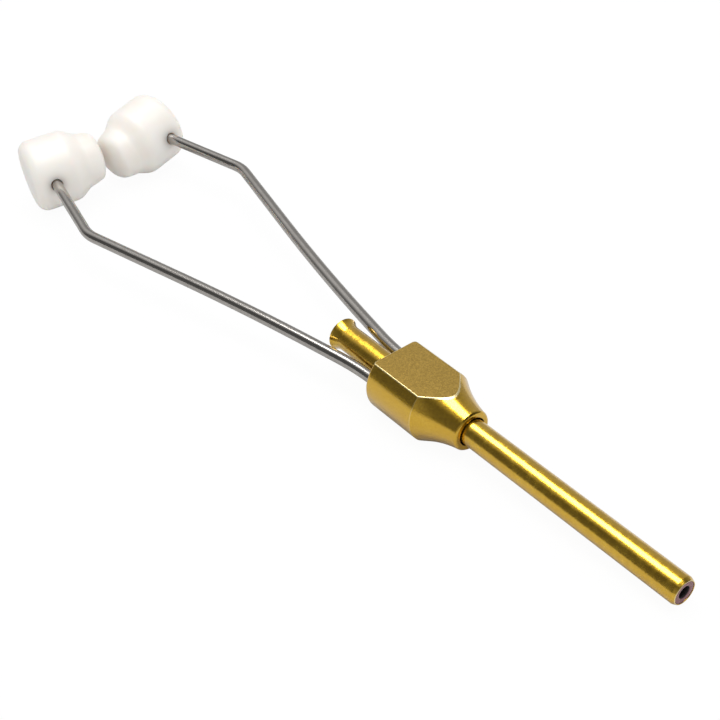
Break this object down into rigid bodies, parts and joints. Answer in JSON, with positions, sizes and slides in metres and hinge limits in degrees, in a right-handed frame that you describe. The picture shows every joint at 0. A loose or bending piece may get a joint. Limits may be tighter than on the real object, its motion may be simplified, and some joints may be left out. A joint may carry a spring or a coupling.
{
  "type": "fly tying bobbin holder",
  "caption": "Bobbin holder for fly tying: brass thread tube with a flared inlet and a ceramic tip, flatted brass body, and sprung wire legs with swivelling plastic feet that grip a spool.",
  "frame": {"origin": "middle of the tube's tip, in the plane of its mouth, where the thread leaves", "axes": "+X along the tube's axis, the way the thread leaves; +Y towards the far leg; +Z square to the body's upper flat"},
  "size_m": [0.1155, 0.0258, 0.0107],
  "materials": {
    "body_brass": "turned and milled, satin",
    "tube_brass": "drawn tube, polished with slight tarnish",
    "tip_ceramic": "polished ceramic",
    "spring_wire": "bright drawn spring steel wire",
    "foot_plastic": "turned white plastic, satin"
  },
  "bodies": {
    "frame": {"body": "body_brass", "tube": "tube_brass", "tip_insert": "tip_ceramic", "near_leg_root": "spring_wire", "far_leg_root": "spring_wire"},
    "near_leg": {"near_leg": "spring_wire"},
    "far_leg": {"far_leg": "spring_wire"},
    "near_foot": {"near_foot": "foot_plastic"},
    "far_foot": {"far_foot": "foot_plastic"}
  },
  "joints": [
    {"name": "near_leg_flex", "type": "hinge", "parent": "frame", "child": "near_leg", "pos_m": [-0.052, -0.00354, 0], "axis": [0, 0, 1], "range_deg": [0, 15], "stiffness_Nm_per_rad": 1.46},
    {"name": "far_leg_flex", "type": "hinge", "parent": "frame", "child": "far_leg", "pos_m": [-0.052, 0.00354, 0], "axis": [0, 0, -1], "range_deg": [0, 15], "stiffness_Nm_per_rad": 1.46},
    {"name": "near_foot_swivel", "type": "hinge", "parent": "near_leg", "child": "near_foot", "pos_m": [-0.1102, -0.00825, 0], "axis": [0.9773, -0.2117, 0], "continuous": true},
    {"name": "far_foot_swivel", "type": "hinge", "parent": "far_leg", "child": "far_foot", "pos_m": [-0.1102, 0.00825, 0], "axis": [0.9773, 0.2117, 0], "continuous": true}
  ]
}
